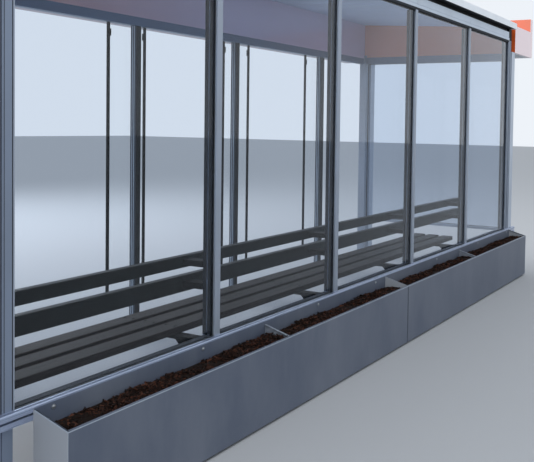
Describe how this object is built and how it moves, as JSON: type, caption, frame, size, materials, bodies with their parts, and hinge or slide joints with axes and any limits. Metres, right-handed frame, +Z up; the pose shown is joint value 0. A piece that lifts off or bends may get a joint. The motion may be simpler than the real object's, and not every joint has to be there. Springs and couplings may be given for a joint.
{
  "type": "bus shelter",
  "caption": "Long glazed bus shelter with an open front, slatted bench, deep sheet canopy on three sides and low planters behind the back wall.",
  "frame": {"origin": "on the ground, in the middle of the outline seen from above", "axes": "+X along the back wall to the right when seen from behind, +Y towards the street, +Z up"},
  "size_m": [7.774, 2.602, 2.746],
  "materials": {
    "frame_aluminium": "satin anodised",
    "canopy_lacquer": "gloss lacquer",
    "black_steel": "satin powder coat",
    "clear_glass": "clear",
    "seat_timber": "oiled",
    "planter_steel": "satin powder coat",
    "bark_mulch": "loose bark",
    "roof_sheet": "satin coated sheet",
    "plate_steel": "galvanised"
  },
  "bodies": {
    "root": {"back_glass": "clear_glass", "back_mullions": "frame_aluminium", "back_sill": "frame_aluminium", "backrest_boards": "seat_timber", "base_plates": "plate_steel", "bench_brackets": "black_steel", "canopy_cover": "canopy_lacquer", "canopy_frames": "black_steel", "canopy_posts": "frame_aluminium", "canopy_soffit": "canopy_lacquer", "closing_cassettes": "canopy_lacquer", "corner_blocks": "black_steel", "end_beams": "frame_aluminium", "end_sills": "frame_aluminium", "front_beam": "frame_aluminium", "front_fascia": "canopy_lacquer", "front_posts": "frame_aluminium", "gutter": "frame_aluminium", "header_cover": "frame_aluminium", "inner_panels": "canopy_lacquer", "ledge_rail": "frame_aluminium", "left_back_post": "frame_aluminium", "left_end_glass": "clear_glass", "left_fascia": "canopy_lacquer", "left_front_post": "frame_aluminium", "left_planter_back": "planter_steel", "left_planter_bark": "bark_mulch", "left_planter_tray": "planter_steel", "lower_beam": "frame_aluminium", "planter_dividers": "planter_steel", "planter_feet": "black_steel", "right_back_post": "frame_aluminium", "right_end_glass": "clear_glass", "right_fascia": "canopy_lacquer", "right_front_post": "frame_aluminium", "right_planter_back": "planter_steel", "right_planter_bark": "bark_mulch", "right_planter_tray": "planter_steel", "roof_panel": "roof_sheet", "roof_seal": "black_steel", "screen_frames": "black_steel", "screen_glass": "clear_glass", "seat_slats": "seat_timber", "top_rail": "frame_aluminium"}
  },
  "joints": []
}
